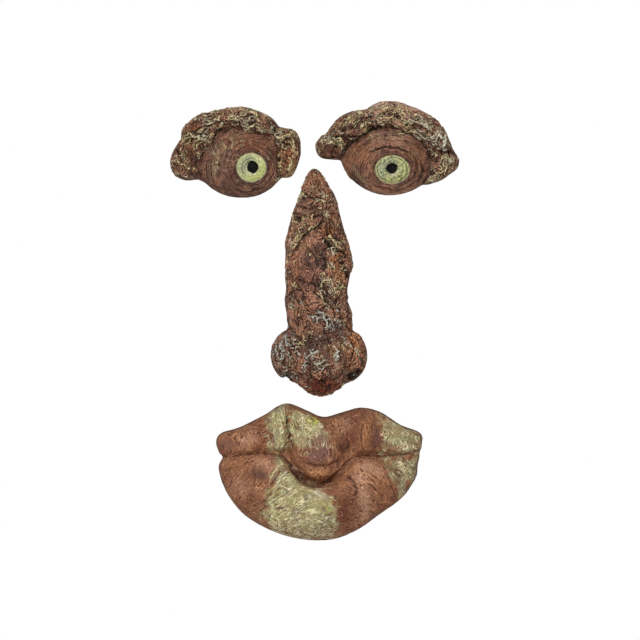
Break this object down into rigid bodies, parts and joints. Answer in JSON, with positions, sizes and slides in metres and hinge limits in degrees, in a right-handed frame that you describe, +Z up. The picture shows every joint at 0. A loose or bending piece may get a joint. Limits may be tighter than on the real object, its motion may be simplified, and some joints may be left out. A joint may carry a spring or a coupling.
{
  "type": "tree face sculpture",
  "caption": "Garden tree face in separate flat-backed castings, two eyes with lumpy brows, a long bark-textured nose and full pursed lips, each hung on a trunk by a keyhole.",
  "frame": {"origin": "middle of the nose's flat back, on the plane of the trunk that all the flat backs share", "axes": "+Z up, +Y into the trunk so that the face looks towards -Y, +X to the right as the viewer sees the face"},
  "size_m": [0.2139, 0.0441, 0.3251],
  "materials": {
    "eye_bark": "matt painted resin, brown washes and cream dry brushing",
    "nose_bark": "matt painted resin, brown washes and cream dry brushing",
    "lip_paint": "matt painted resin, terracotta with green patches"
  },
  "bodies": {
    "root": {"left_eye": "eye_bark", "right_eye": "eye_bark", "nose": "nose_bark", "mouth": "lip_paint"}
  },
  "joints": []
}
